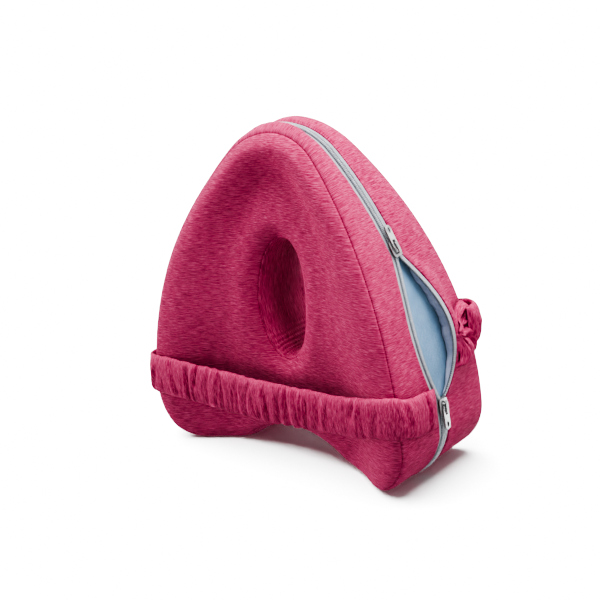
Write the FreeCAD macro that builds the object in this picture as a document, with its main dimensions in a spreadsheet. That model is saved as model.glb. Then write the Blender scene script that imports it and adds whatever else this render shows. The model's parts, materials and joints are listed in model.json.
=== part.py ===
"""Contoured leg pillow: a memory-foam core with a leg groove in both faces and a hole through it,
in a zipped cover with an elastic strap.  +Z is up, X is the width, and the front faces -Y.
The origin is on the floor, under the middle of the pillow."""
import FreeCAD, Part
import math
import os
import Sketcher

Vector = FreeCAD.Vector
Rotation = FreeCAD.Rotation
X_AXIS, Y_AXIS, Z_AXIS = Vector(1, 0, 0), Vector(0, 1, 0), Vector(0, 0, 1)

SIZES = {
    # outline of the pillow, seen from the front
    "height": 250, "top_radius": 59, "side_radius": 285, "lobe_radius": 40, "lobe_place": 82,
    "inner_radius": 34.5, "inner_place": 64, "notch_height": 18,
    # half of the thickness, at the floor and at the top, and how far it bulges between them
    "half_depth_low": 50, "half_depth_top": 19.5, "depth_bulge": 12,
    # leg groove in each face
    "groove_depth": 24, "groove_top": 235, "groove_fade": 1.3, "groove_rim": 13,
    # hole through the middle
    "hole_place": 124, "hole_half_width": 20, "hole_half_height": 43,
    # cover
    "fabric": 1.6, "foam_gap": 0.2, "panel_gap": 0.1,
    # zip: where its line is, its parts, and its open stretch
    "zip_line": -2, "zip_drift": -6, "tape_edge": 6.3, "tape_gap": 0.1, "tape_thick": 0.8, "tape_proud": 0.3,
    "coil_edge": 1.5, "coil_gap": 0.4, "coil_deep": 0.4, "coil_proud": 1.4, "zip_tail": 60, "stop_length": 3,
    "open_front": 11, "open_back": 17, "open_lift": 8, "flap": 14, "flap_gap": 1, "row_gap": 0.3,
    "facing_start": 2.5, "facing_end": 11.3, "facing_place": -3, "facing_thick": 0.8,
    "upper_angle": 27.7, "lower_angle": 4.57,
    # sliders and their pull tabs
    "slider_length": 12, "slider_width": 9, "plate_thick": 1, "plate_place": 1.6, "under_place": -1.5,
    "under_thick": 0.9, "post_width": 0.6, "post_length": 2.5, "slider_corner": 2.2,
    "bail_length": 8.4, "bail_width": 2.4, "bail_height": 3.1, "bail_thick": 1.1,
    "tab_length": 17, "tab_width": 5.8, "tab_thick": 1, "tab_place": 3.1, "tab_bar": 1.6,
    "tab_corner": 0.8, "bail_corner": 1.5,
    "tab_window": 5.2, "window_width": 3, "tab_slot": 1.8, "slot_width": 2.2, "slot_end": 3,
    # strap
    "strap_width": 32, "strap_thick": 4, "strap_low": 38, "strap_clear_x": 123.1, "strap_clear_y": 52.2,
    "sleeve_wall": 1.2, "elastic_thick": 1.2, "elastic_width": 25, "span_half": 104, "strap_gap": 0.4,
    "strap_end_front": -14, "gather_low": 80, "gather_high": 116, "gather_start": 36.5, "gather_inset": 3,
    "strap_corner": 4, "elastic_play": 0.3, "elastic_gap": 0.2,
}

doc = FreeCAD.newDocument("leg_pillow")
sheet = doc.addObject("Spreadsheet::Sheet", "sizes")
for row, (word, value) in enumerate(SIZES.items(), start=1):
    sheet.set("A%d" % row, word)
    sheet.set("B%d" % row, str(value))
    sheet.setAlias("B%d" % row, word)
doc.recompute()


def size(word):
    """A driving dimension, read from the sheet."""
    return float(getattr(sheet, word))


def cell(word):
    """The expression that reads a driving dimension."""
    return "sizes." + word


subparts = []


def subpart(item, label):
    """Names a finished piece, which names its file."""
    item.Label = label
    subparts.append(item)
    return item


# ---------------------------------------------------------------- outline and zip path

class Arc:
    """One stretch of the outline: an arc with its centre in the XZ plane."""

    def __init__(self, centre, radius, start, end):
        self.centre, self.radius, self.start, self.end = centre, radius, start, end
        self.length = radius * abs(end - start)

    def at(self, length):
        """The angle after this length of arc."""
        return self.start + length / self.radius * math.copysign(1, self.end - self.start)


def side_centre():
    """Centre of the side arc, which is tangent inside to the top arc and to the lobe's arc."""
    top = (0.0, size("height") - size("top_radius"))
    lobe = (size("lobe_place"), size("lobe_radius"))
    to_top = size("side_radius") - size("top_radius")
    to_lobe = size("side_radius") - size("lobe_radius")
    apart = math.dist(top, lobe)
    along = (to_top ** 2 - to_lobe ** 2 + apart ** 2) / (2 * apart)
    across = math.sqrt(to_top ** 2 - along ** 2)
    ux, uz = (lobe[0] - top[0]) / apart, (lobe[1] - top[1]) / apart
    return (top[0] + ux * along + uz * across, top[1] + uz * along - ux * across)


TOP = (0.0, size("height") - size("top_radius"))
SIDE = side_centre()
LOBE = (size("lobe_place"), size("lobe_radius"))
TOP_TURN = math.atan2(TOP[1] - SIDE[1], TOP[0] - SIDE[0])
LOBE_TURN = math.atan2(LOBE[1] - SIDE[1], LOBE[0] - SIDE[0])
NOTCH_RADIUS = (size("inner_place") ** 2 + size("notch_height") ** 2) / (2 * size("notch_height")) \
    - size("inner_radius")
NOTCH_TURN = math.atan2(size("inner_radius") - (size("notch_height") - NOTCH_RADIUS),
                        size("inner_place"))
ZIP_PATH = [Arc(TOP, size("top_radius"), math.pi - TOP_TURN, TOP_TURN),
            Arc(SIDE, size("side_radius"), TOP_TURN, LOBE_TURN),
            Arc(LOBE, size("lobe_radius"), LOBE_TURN, -math.radians(size("zip_tail")))]
ZIP_LENGTH = sum(arc.length for arc in ZIP_PATH)
SIDE_START = ZIP_PATH[0].length
SIDE_END = SIDE_START + ZIP_PATH[1].length


def along_zip(length):
    """Centre, radius and angle of the outline at this length along the zip."""
    for arc in ZIP_PATH:
        if length <= arc.length or arc is ZIP_PATH[-1]:
            return arc.centre, arc.radius, arc.at(length)
        length -= arc.length


def length_at(angle):
    """Length along the zip of a place on the side arc."""
    return SIDE_START + size("side_radius") * (TOP_TURN - angle)


UPPER_ANGLE = math.radians(size("upper_angle"))
LOWER_ANGLE = math.radians(size("lower_angle"))
# the open stretch, from slider to slider, and as shares of it the free lip and the flap beside it
OPEN_START = length_at(UPPER_ANGLE) + size("slider_length") / 2
OPEN_END = length_at(LOWER_ANGLE) - size("slider_length") / 2
LIP_START, LIP_END = 0.40, 0.72
FLAP_START, FLAP_END = 0.16, 0.88


def smooth(t):
    """0 to 1 with level ends."""
    t = min(max(t, 0.0), 1.0)
    return t * t * (3 - 2 * t)


def opening(length):
    """How far open the zip is, from 0 at the sliders to 1 along the middle of the open stretch."""
    t = (length - OPEN_START) / (OPEN_END - OPEN_START)
    return smooth(t / LIP_START) * smooth((1 - t) / (1 - LIP_END))


def front_row(length):
    """Y of the front edge of the zip, which drifts forward under the lobe."""
    drift = size("zip_drift") * smooth((length - SIDE_END) / (ZIP_LENGTH - SIDE_END))
    return size("zip_line") + drift - size("open_front") * opening(length)


def back_row(length):
    """Y of the back edge of the zip."""
    return front_row(length) + (size("open_front") + size("open_back")) * opening(length)


def stations(start, end, step=3.5):
    count = max(2, math.ceil((end - start) / step))
    return [start + (end - start) * i / count for i in range(count + 1)]


def strip(start, end, low, high, inner, outer, lift_low=None, lift_high=None):
    """A band that follows the outline between two Y values and two heights above the outline."""
    none = (lambda length: 0.0)
    lift_low, lift_high = lift_low or none, lift_high or none
    wires = []
    for length in stations(start, end):
        centre, radius, angle = along_zip(length)
        corners = [(low(length), inner + lift_low(length)), (high(length), inner + lift_high(length)),
                   (high(length), outer + lift_high(length)), (low(length), outer + lift_low(length))]
        points = [Vector(centre[0] + (radius + rise) * math.cos(angle), y,
                         centre[1] + (radius + rise) * math.sin(angle)) for y, rise in corners]
        wires.append(Part.makePolygon(points + points[:1]))
    return Part.makeLoft(wires, True, False)


def shaped(name, shape):
    """A document object that holds a ready shape."""
    item = doc.addObject("Part::Feature", name)
    item.Shape = shape
    item.Placement = FreeCAD.Placement()
    return item


# ---------------------------------------------------------------- sketches and simple solids

def origin_plane(body, role):
    return next(plane for plane in body.Origin.OriginFeatures if plane.Role == role)


def new_sketch(body, name, role):
    sketch = body.newObject("Sketcher::SketchObject", name)
    sketch.AttachmentSupport = (origin_plane(body, role), [""])
    sketch.MapMode = "FlatFace"
    return sketch


def sketch_arc(sketch, centre, radius, start, end):
    circle = Part.Circle(Vector(centre[0], centre[1], 0), Z_AXIS, radius)
    return sketch.addGeometry(Part.ArcOfCircle(circle, min(start, end), max(start, end)))


def bind(sketch, constraint, name, expression):
    """Adds a named dimension and binds it to the sheet."""
    index = sketch.addConstraint(constraint)
    sketch.renameConstraint(index, name)
    sketch.setExpression("Constraints." + name, expression)


def outline_wire(sketch, inset, prefix=""):
    """The outline with every stretch moved in by inset: six convex arcs, two flats and the notch."""
    move = inset["value"]
    half, down = math.pi / 2, -math.pi / 2
    lobe_r, inner_r = size("lobe_radius") - move, size("inner_radius") - move
    side_r, lobe_x, inner_x = size("side_radius") - move, size("lobe_place"), size("inner_place")
    inner_z = size("inner_radius")
    notch_z = size("notch_height") - NOTCH_RADIUS
    top = sketch_arc(sketch, TOP, size("top_radius") - move, TOP_TURN, math.pi - TOP_TURN)
    side = sketch_arc(sketch, SIDE, side_r, LOBE_TURN, TOP_TURN)
    lobe = sketch_arc(sketch, LOBE, lobe_r, down, LOBE_TURN)
    flat = sketch.addGeometry(Part.LineSegment(Vector(lobe_x, move, 0), Vector(inner_x, move, 0)))
    inner = sketch_arc(sketch, (inner_x, inner_z), inner_r, math.pi + NOTCH_TURN, 3 * half)
    notch = sketch_arc(sketch, (0, notch_z), NOTCH_RADIUS + move, NOTCH_TURN, math.pi - NOTCH_TURN)
    inner_2 = sketch_arc(sketch, (-inner_x, inner_z), inner_r, down, -NOTCH_TURN)
    flat_2 = sketch.addGeometry(Part.LineSegment(Vector(-inner_x, move, 0), Vector(-lobe_x, move, 0)))
    lobe_2 = sketch_arc(sketch, (-LOBE[0], LOBE[1]), lobe_r, math.pi - LOBE_TURN, 3 * half)
    side_2 = sketch_arc(sketch, (-SIDE[0], SIDE[1]), side_r, math.pi - TOP_TURN, math.pi - LOBE_TURN)
    joins = [(top, 1, side, 2), (side, 1, lobe, 2), (lobe, 1, flat, 1), (flat, 2, inner, 2),
             (inner, 1, notch, 1), (notch, 2, inner_2, 2), (inner_2, 1, flat_2, 1),
             (flat_2, 2, lobe_2, 2), (lobe_2, 1, side_2, 2), (side_2, 1, top, 2)]
    for join in joins:
        sketch.addConstraint(Sketcher.Constraint("Tangent", *join))
    radii = [("top", top, "top_radius"), ("side", side, "side_radius"), ("lobe", lobe, "lobe_radius"),
             ("inner", inner, "inner_radius"), ("inner_2", inner_2, "inner_radius"),
             ("lobe_2", lobe_2, "lobe_radius"), ("side_2", side_2, "side_radius")]
    for word, arc, name in radii:
        radius = Sketcher.Constraint("Radius", arc, size(name) - move)
        bind(sketch, radius, prefix + word, "%s - %s" % (cell(name), inset["cells"]))
    sketch.addConstraint(Sketcher.Constraint("PointOnObject", top, 3, -2))
    places = [("top_z", "DistanceY", top, "height", " - sizes.top_radius"),
              ("lobe_x", "DistanceX", lobe, "lobe_place", ""),
              ("lobe_z", "DistanceY", lobe, "lobe_radius", ""),
              ("inner_x", "DistanceX", inner, "inner_place", "")]
    for word, kind, arc, name, rest in places:
        value = size(name) - (size("top_radius") if rest else 0)
        place = Sketcher.Constraint(kind, -1, 1, arc, 3, value)
        bind(sketch, place, prefix + word, cell(name) + rest)
    for first, second in ((lobe, lobe_2), (inner, inner_2)):
        sketch.addConstraint(Sketcher.Constraint("Symmetric", first, 3, second, 3, -2))


def inset(*words, offset=0.0):
    """How far an outline is moved in: its value and the same sum in cells."""
    value = sum(size(word) for word in words) + offset
    cells = " - ".join([cell(word) for word in words]) or "%g" % offset
    return {"value": value, "cells": cells}


def pad(body, sketch, length):
    """A pad both ways from the sketch's plane."""
    feature = body.newObject("PartDesign::Pad", body.Name + "_pad")
    feature.Profile = sketch
    feature.Midplane = True
    feature.Length = length
    body.Tip = feature
    return feature


BLANK_DEPTH = 4 * size("half_depth_low")


def outline_blank(name, *insets):
    """A straight block with the outline, or a ring between two outlines."""
    body = doc.addObject("PartDesign::Body", name)
    sketch = new_sketch(body, name + "_outline", "XZ_Plane")
    for index, one in enumerate(insets):
        outline_wire(sketch, one, "ring_" if index else "")
    pad(body, sketch, BLANK_DEPTH).setExpression("Length", "4 * sizes.half_depth_low")
    return body


def oval_blank(name, extra):
    """An upright oval cylinder along Y for the hole, wider all round by extra fabric widths."""
    body = doc.addObject("PartDesign::Body", name)
    sketch = new_sketch(body, name + "_oval", "XZ_Plane")
    grow = sum(size(word) for word in extra)
    centre = Vector(0, size("hole_place"), 0)
    tall, wide = size("hole_half_height") + grow, size("hole_half_width") + grow
    oval = Part.Ellipse(centre + Vector(0, tall, 0), centre + Vector(-wide, 0, 0), centre)
    index = sketch.addGeometry(oval)
    sketch.exposeInternalGeometry(index)
    major, minor = index + 1, index + 2
    plus = "".join(" + " + cell(word) for word in extra)
    bind(sketch, Sketcher.Constraint("Distance", major, 2 * tall), "tall",
         "2 * (%s%s)" % (cell("hole_half_height"), plus))
    bind(sketch, Sketcher.Constraint("Distance", minor, 2 * wide), "wide",
         "2 * (%s%s)" % (cell("hole_half_width"), plus))
    sketch.addConstraint(Sketcher.Constraint("Vertical", major))
    sketch.addConstraint(Sketcher.Constraint("PointOnObject", index, 3, -2))
    bind(sketch, Sketcher.Constraint("DistanceY", -1, 1, index, 3, centre.y), "place", cell("hole_place"))
    pad(body, sketch, BLANK_DEPTH).setExpression("Length", "4 * sizes.half_depth_low")
    return body


def box(name, low, spans):
    """A box from its low corner and its spans, each an expression of the sheet's cells."""
    item = doc.addObject("Part::Box", name)
    for prop, expression in zip(("Length", "Width", "Height"), spans):
        item.setExpression(prop, expression)
    for axis, expression in zip("xyz", low):
        item.setExpression("Placement.Base." + axis, expression)
    return item


def rod(name, radius, length, base, turn=Rotation(Y_AXIS, 90)):
    """A cylinder along X, or turned another way."""
    item = doc.addObject("Part::Cylinder", name)
    item.setExpression("Radius", radius)
    item.setExpression("Height", length)
    item.Placement = FreeCAD.Placement(Vector(), turn)
    for axis, expression in zip("xyz", base):
        item.setExpression("Placement.Base." + axis, expression)
    return item


def cut(name, base, tool):
    item = doc.addObject("Part::Cut", name)
    item.Base, item.Tool = base, tool
    return item


def common(name, *shapes):
    item = doc.addObject("Part::MultiCommon", name)
    item.Shapes = list(shapes)
    return item


def fuse(name, *shapes):
    item = doc.addObject("Part::MultiFuse", name)
    item.Shapes = list(shapes)
    return item


def rounded(name, base, radius, direction):
    """Rounds every straight edge that runs along one axis."""
    doc.recompute()
    edges = []
    for index, edge in enumerate(base.Shape.Edges, start=1):
        if isinstance(edge.Curve, Part.Line) and abs(edge.Curve.Direction.dot(direction)) > 0.999:
            edges.append((index, radius, radius))
    item = doc.addObject("Part::Fillet", name)
    item.Base = base
    item.Edges = edges
    return item


# ---------------------------------------------------------------- the two contoured faces

def half_depth(z):
    """Half of the pillow's thickness at its rim."""
    up = z / size("height")
    straight = size("half_depth_low") + (size("half_depth_top") - size("half_depth_low")) * up
    return straight + size("depth_bulge") * 4 * up * (1 - up)


def half_width(z):
    """Half of the pillow's width, held at its widest below the side arc."""
    z = max(z, size("lobe_radius") + 20)
    reach = size("side_radius") ** 2 - (z - SIDE[1]) ** 2
    return SIDE[0] + math.sqrt(reach)


def groove(x, z):
    """Depth of the leg groove, deepest at the bottom and fading out under the top rim."""
    if z >= size("groove_top"):
        return 0.0
    fade = (1 - (max(z, 0.0) / size("groove_top")) ** 2) ** size("groove_fade")
    reach = max(half_width(z) - size("groove_rim"), 1.0)
    across = math.cos(math.pi / 2 * min(abs(x) / reach, 1.0)) ** 2
    return size("groove_depth") * fade * across


def contoured_face(name, side, move):
    """One face of the pillow, moved in by this much, as a smooth surface over the XZ plane."""
    pitch = 10.0
    xs = [pitch * i for i in range(-14, 15)]
    zs = [pitch * (i - 1.5) for i in range(29)]
    grid = [[Vector(x, side * (half_depth(z) - groove(x, z) - move), z) for z in zs] for x in xs]
    surface = Part.BSplineSurface()
    surface.interpolate(grid)
    return shaped(name, surface.toShape())


def layer(name, face, side, thickness):
    """The space behind a face, this thick, as an extrusion along Y."""
    item = doc.addObject("Part::Extrusion", name)
    item.Base = face
    item.DirMode = "Custom"
    item.Dir = Vector(0, -side, 0)
    item.LengthFwd = thickness
    item.Solid = True
    return item


def inside(name, move):
    """The pillow's inside between both faces, each moved in by this much."""
    spaces = []
    for word, side in (("front", -1), ("back", 1)):
        face = contoured_face("%s_%s_face" % (name, word), side, move)
        spaces.append(layer("%s_%s_space" % (name, word), face, side, BLANK_DEPTH))
    return spaces


cover_inside = inside("cover_inside", size("fabric") + size("foam_gap"))
foam_inside = inside("foam_inside", size("fabric") + 2 * size("foam_gap"))
clear_space = inside("clear", -size("strap_gap"))


# ---------------------------------------------------------------- foam core

def foam_core():
    blank = outline_blank("foam_blank", inset("fabric", "foam_gap"))
    block = common("foam_block", blank, *foam_inside)
    hole = oval_blank("foam_hole", ("fabric", "foam_gap"))
    subpart(cut("foam_cut", block, hole), "foam_core")


# ---------------------------------------------------------------- cover panels

def face_panels():
    blank = outline_blank("panel_blank", inset("panel_gap"))
    hole = oval_blank("panel_hole", ())
    for word, side in (("front", -1), ("back", 1)):
        face = contoured_face(word + "_outer_face", side, 0.0)
        skin = layer(word + "_skin", face, side, size("fabric"))
        skin.setExpression("LengthFwd", cell("fabric"))
        sheet_part = common(word + "_sheet", blank, skin)
        subpart(cut(word + "_panel_cut", sheet_part, hole), word + "_panel")


def hole_lining():
    outer = oval_blank("lining_outer", ("fabric",))
    inner = oval_blank("lining_inner", ())
    tube = cut("lining_tube", outer, inner)
    subpart(common("lining_common", tube, *cover_inside), "hole_lining")


def gusset():
    """The band round the edge: a front and a back strip beside the zip, and one wide base strip."""
    ring = outline_blank("gusset_ring", inset(), inset("fabric"))
    band = common("gusset_band", ring, *cover_inside)
    reach, over = 2 * size("half_depth_low"), 5.0
    edge = size("tape_edge") + size("foam_gap")

    def flap_root(length):
        return back_row(length) + edge + size("flap") * opening(length)

    front = shaped("front_reach", strip(0, ZIP_LENGTH, lambda at: -reach, lambda at: front_row(at) - edge,
                                        -over, over))
    back = shaped("back_reach", strip(0, ZIP_LENGTH, flap_root, lambda at: reach, -over, over))
    seam = size("foam_gap")
    whole = shaped("zip_reach", strip(-seam, ZIP_LENGTH + seam, lambda at: -reach, lambda at: reach,
                                      -over, over))
    subpart(common("gusset_front_common", band, front), "gusset_front")
    subpart(common("gusset_back_common", band, back), "gusset_back")
    subpart(cut("gusset_base_cut", band, whole), "gusset_base")
    span = OPEN_END - OPEN_START
    lift = (lambda length: size("open_lift") * opening(length))
    gap = size("flap_gap")
    flap = strip(OPEN_START + FLAP_START * span, OPEN_START + FLAP_END * span,
                 lambda at: back_row(at) + edge + gap, lambda at: flap_root(at) - gap,
                 -size("fabric"), 0.0, lift_low=lift)
    subpart(shaped("flap_shape", flap), "gusset_flap")


# ---------------------------------------------------------------- zip

def zip_parts():
    """Two tapes with a coil each, cut where the free lip of the open zip starts and ends."""
    span, gap, stop = OPEN_END - OPEN_START, size("row_gap"), size("stop_length")
    lip_start, lip_end = OPEN_START + LIP_START * span, OPEN_START + LIP_END * span
    lift = (lambda length: size("open_lift") * opening(length))
    rows = {
        "tape": (size("coil_edge") + size("tape_gap"), size("tape_edge"),
                 size("tape_proud") - size("tape_thick"), size("tape_proud")),
        "coil": (size("coil_gap"), size("coil_edge"), -size("coil_deep"), size("coil_proud")),
    }
    stretches = {"upper": (stop, lip_start - gap), "lip": (lip_start, lip_end),
                 "lower": (lip_end + gap, ZIP_LENGTH - stop)}
    for word, (near, far, inner, outer) in rows.items():
        for place, (start, end) in stretches.items():
            front = strip(start, end, lambda at: front_row(at) - far, lambda at: front_row(at) - near,
                          inner, outer)
            back = strip(start, end, lambda at: back_row(at) + near, lambda at: back_row(at) + far,
                         inner, outer, lift, lift)
            for side, shape in (("front", front), ("back", back)):
                name = "zip_%s_%s_%s" % (word, side, place)
                subpart(shaped(name + "_shape", shape), name)
    slope = 1 - (size("facing_end") - size("tape_edge")) / size("flap")
    facing = strip(lip_start, lip_end, lambda at: back_row(at) + size("facing_start"),
                   lambda at: back_row(at) + size("facing_end"), size("facing_place"),
                   size("facing_place") + size("facing_thick"), lift, lambda at: slope * lift(at))
    subpart(shaped("lip_facing_shape", facing), "lip_facing")
    half = size("coil_edge") + size("coil_gap")
    ends = (("left", gap, stop - gap), ("lower", ZIP_LENGTH - stop + gap, ZIP_LENGTH - gap))
    for word, start, end in ends:
        block = strip(start, end, lambda at: front_row(at) - half, lambda at: front_row(at) + half,
                      -size("coil_deep"), size("coil_proud") + gap)
        subpart(shaped("zip_stop_%s_shape" % word, block), "zip_stop_" + word)


def on_zip(item, angle, upside_down):
    """Puts a piece that is built at the origin, with X outward, on the side arc at this angle."""
    place = Vector(SIDE[0] + size("side_radius") * math.cos(angle), size("zip_line"),
                   SIDE[1] + size("side_radius") * math.sin(angle))
    turn = Rotation(Y_AXIS, -math.degrees(angle))
    if upside_down:
        turn = turn * Rotation(X_AXIS, 180)
    item.Placement = FreeCAD.Placement(place, turn)


def slider(word, angle, upside_down):
    """A zip slider: its body, the bail on top and the pull tab, which points along +Z before it is placed."""
    name = word + "_slider_"
    half_width = "-sizes.slider_width / 2"
    half_length = "-sizes.slider_length / 2"
    flat = (cell("slider_width"), cell("slider_length"))
    top = box(name + "top", (cell("plate_place"), half_width, half_length), (cell("plate_thick"),) + flat)
    under = box(name + "under", (cell("under_place"), half_width, half_length), (cell("under_thick"),) + flat)
    corner = size("slider_corner")
    top_round = rounded(name + "top_round", top, corner, X_AXIS)
    under_round = rounded(name + "under_round", under, corner, X_AXIS)
    post = box(name + "post", ("sizes.under_place", "-sizes.post_width / 2", half_length),
               ("sizes.plate_place + sizes.plate_thick - sizes.under_place", cell("post_width"),
                cell("post_length")))
    body = fuse(name + "fuse", top_round, under_round, post)
    subpart(body, word + "_slider_body")

    base = "sizes.plate_place + sizes.plate_thick"
    block = box(name + "bail_block", (base, "-sizes.bail_width / 2", "-sizes.bail_length / 2"),
                (cell("bail_height"), cell("bail_width"), cell("bail_length")))
    arch = rounded(name + "bail_round", block, size("bail_corner"), Y_AXIS)
    room = box(name + "bail_room", (base, "-sizes.bail_width", "-sizes.bail_length / 2 + sizes.bail_thick"),
               ("sizes.bail_height - sizes.bail_thick", "2 * sizes.bail_width",
                "sizes.bail_length - 2 * sizes.bail_thick"))
    bail = cut(name + "bail_cut", arch, room)
    subpart(bail, word + "_slider_bail")

    thick = cell("tab_thick")
    plate = box(name + "tab_plate", (cell("tab_place"), "-sizes.tab_width / 2", "-sizes.tab_bar / 2"),
                (thick, cell("tab_width"), "sizes.tab_length + sizes.tab_bar / 2 - sizes.tab_width / 2"))
    end = rod(name + "tab_end", "sizes.tab_width / 2", thick,
              (cell("tab_place"), "0", "sizes.tab_length - sizes.tab_width / 2"))
    plate_round = rounded(name + "tab_round", plate, size("tab_corner"), X_AXIS)
    bar = rod(name + "tab_bar", "sizes.tab_bar / 2", cell("tab_width"),
              ("sizes.tab_place + sizes.tab_thick / 2", "-sizes.tab_width / 2", "0"), Rotation(X_AXIS, -90))
    solid = fuse(name + "tab_solid", plate_round, end, bar)
    under_tab, through = "sizes.tab_place - 1", "sizes.tab_thick + 2"
    window = box(name + "tab_window", (under_tab, "-sizes.window_width / 2", "sizes.tab_bar / 2"),
                 (through, cell("window_width"), cell("tab_window")))
    slot_low = "sizes.tab_length - sizes.slot_end - sizes.tab_slot"
    slot = box(name + "tab_slot", (under_tab, "-sizes.slot_width / 2", slot_low),
               (through, cell("slot_width"), cell("tab_slot")))
    slot_top = rod(name + "slot_top", "sizes.slot_width / 2", through,
                   (under_tab, "0", "sizes.tab_length - sizes.slot_end"))
    slot_base = rod(name + "slot_base", "sizes.slot_width / 2", through, (under_tab, "0", slot_low))
    holes = fuse(name + "tab_holes", window, slot, slot_top, slot_base)
    tab = cut(name + "tab_cut", solid, holes)
    subpart(tab, word + "_pull_tab")
    for item in (body, bail, tab):
        on_zip(item, angle, upside_down)


# ---------------------------------------------------------------- strap

def strap_ring(name, face, wall, low, tall):
    """A rectangular loop round the pillow: its inner faces stand off by face, and it is wall thick."""
    outer = box(name + "_outer", ("-sizes.strap_clear_x - %s - %s" % (face, wall),
                                  "-sizes.strap_clear_y - %s - %s" % (face, wall), low),
                ("2 * (sizes.strap_clear_x + %s + %s)" % (face, wall),
                 "2 * (sizes.strap_clear_y + %s + %s)" % (face, wall), tall))
    inner = box(name + "_inner", ("-sizes.strap_clear_x - " + face, "-sizes.strap_clear_y - " + face, low),
                ("2 * (sizes.strap_clear_x + %s)" % face, "2 * (sizes.strap_clear_y + %s)" % face, tall))
    round_outer = rounded(name + "_round", outer, size("strap_corner"), Z_AXIS)
    return cut(name, round_outer, rounded(name + "_bend", inner, size("strap_corner") / 4, Z_AXIS))


def strap():
    """The elastic loop in its gathered sleeve: front span, left side, right corner, back span."""
    low, tall = cell("strap_low"), cell("strap_width")
    body = strap_ring("sleeve_loop", "0", cell("strap_thick"), low, tall)
    edge = "(sizes.strap_width - sizes.elastic_width) / 2 - sizes.elastic_play"
    hollow = strap_ring("sleeve_hollow", cell("sleeve_wall"), "(sizes.strap_thick - 2 * sizes.sleeve_wall)",
                        low + " + " + edge, "sizes.elastic_width + 2 * sizes.elastic_play")
    sleeve = cut("sleeve", body, hollow)
    elastic = strap_ring("elastic_loop", "(sizes.sleeve_wall + sizes.elastic_gap)", cell("elastic_thick"),
                         low + " + (sizes.strap_width - sizes.elastic_width) / 2", cell("elastic_width"))
    deep = "2 * sizes.half_depth_low"
    around = ("sizes.strap_low / 2", "sizes.strap_low + sizes.strap_width")
    reaches = {
        "front": (("-sizes.span_half", "-" + deep, around[0]), ("2 * sizes.span_half", deep, around[1])),
        "left": (("-2 * sizes.span_half", "-" + deep, around[0]),
                 ("sizes.span_half - sizes.strap_gap", "2 * " + deep, around[1])),
        "right": (("sizes.span_half + sizes.strap_gap", "-" + deep, around[0]),
                  ("sizes.span_half", "%s + sizes.strap_end_front" % deep, around[1])),
    }
    for word, (corner, spans) in reaches.items():
        reach = box("strap_%s_reach" % word, corner, spans)
        reach_2 = box("elastic_%s_reach" % word, corner, spans)
        subpart(common("sleeve_%s_common" % word, sleeve, reach), "strap_%s_sleeve" % word)
        subpart(common("elastic_%s_common" % word, elastic, reach_2), "strap_%s_elastic" % word)
    back_strap()
    near = ("sizes.span_half + sizes.gather_inset", cell("gather_start"), cell("gather_low"))
    gather = box("gather_block", near,
                 ("sizes.strap_clear_x + sizes.strap_thick - sizes.span_half - sizes.gather_inset",
                  "sizes.strap_clear_y + sizes.strap_thick - sizes.gather_start",
                  "sizes.gather_high - sizes.gather_low"))
    clear_blank = outline_blank("clear_blank", inset(offset=-size("strap_gap")))
    clear = common("clear_pillow", clear_blank, *clear_space)
    subpart(cut("gather_cut", gather, clear), "strap_gather")


def back_strap():
    """The back span, which climbs from the left side to the gather."""
    rise = (size("gather_low") + size("gather_high") - size("strap_width")) / 2 - size("strap_low")
    tilt = math.atan2(rise, 2 * size("span_half"))
    span = "2 * (sizes.span_half - 2 * sizes.strap_gap)"
    edge = "(sizes.strap_width - sizes.elastic_width) / 2"

    def flat_bar(name, near, wall, low, tall):
        return box(name, ("0", near, low), (span, wall, tall))

    whole = flat_bar("back_whole", "0", cell("strap_thick"), "0", cell("strap_width"))
    hollow = flat_bar("back_hollow", cell("sleeve_wall"), "sizes.strap_thick - 2 * sizes.sleeve_wall",
                      edge + " - sizes.elastic_play", "sizes.elastic_width + 2 * sizes.elastic_play")
    band = flat_bar("back_band", "sizes.sleeve_wall + sizes.elastic_gap", cell("elastic_thick"), edge,
                    cell("elastic_width"))
    whole_2 = flat_bar("back_limit", "0", cell("strap_thick"), "0", cell("strap_width"))
    lean = size("strap_width") * math.sin(tilt)
    start = Vector(2 * size("strap_gap") - size("span_half") + lean, size("strap_clear_y"), size("strap_low"))
    place = FreeCAD.Placement(start, Rotation(Y_AXIS, -math.degrees(tilt)))
    sleeve = subpart(cut("back_sleeve_cut", whole, hollow), "strap_back_sleeve")
    elastic = subpart(common("back_elastic_common", band, whole_2), "strap_back_elastic")
    for item in (sleeve, elastic):
        item.Placement = place


foam_core()
face_panels()
hole_lining()
gusset()
zip_parts()
slider("upper", UPPER_ANGLE, False)
slider("lower", LOWER_ANGLE, True)
strap()
doc.recompute()

for item in doc.Objects:
    if "Invalid" in item.State or "Error" in item.State:
        raise RuntimeError("%s failed: %s" % (item.Name, item.State))
for item in subparts:
    if item.Shape.isNull() or not item.Shape.isValid():
        raise RuntimeError("%s has no valid shape" % item.Label)
    if item.Shape.Volume <= 0 or not item.Shape.Solids:
        raise RuntimeError("%s holds no solid" % item.Label)

os.makedirs("parts", exist_ok=True)
for item in subparts:
    item.Shape.exportStep("parts/%s.step" % item.Label)
    shape_box = item.Shape.BoundBox
    print("%-24s solids %d  volume %9.1f  x %7.1f..%6.1f  y %6.1f..%5.1f  z %6.1f..%6.1f" % (
        item.Label, len(item.Shape.Solids), item.Shape.Volume, shape_box.XMin, shape_box.XMax,
        shape_box.YMin, shape_box.YMax, shape_box.ZMin, shape_box.ZMax))
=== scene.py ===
"""Contoured leg pillow: the looks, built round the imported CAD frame.
Lengths are millimetres in the shape functions and become metres when a mesh is made."""
import json
import math

import bpy
import numpy as np
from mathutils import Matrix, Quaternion, Vector
from mathutils.bvhtree import BVHTree


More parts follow.
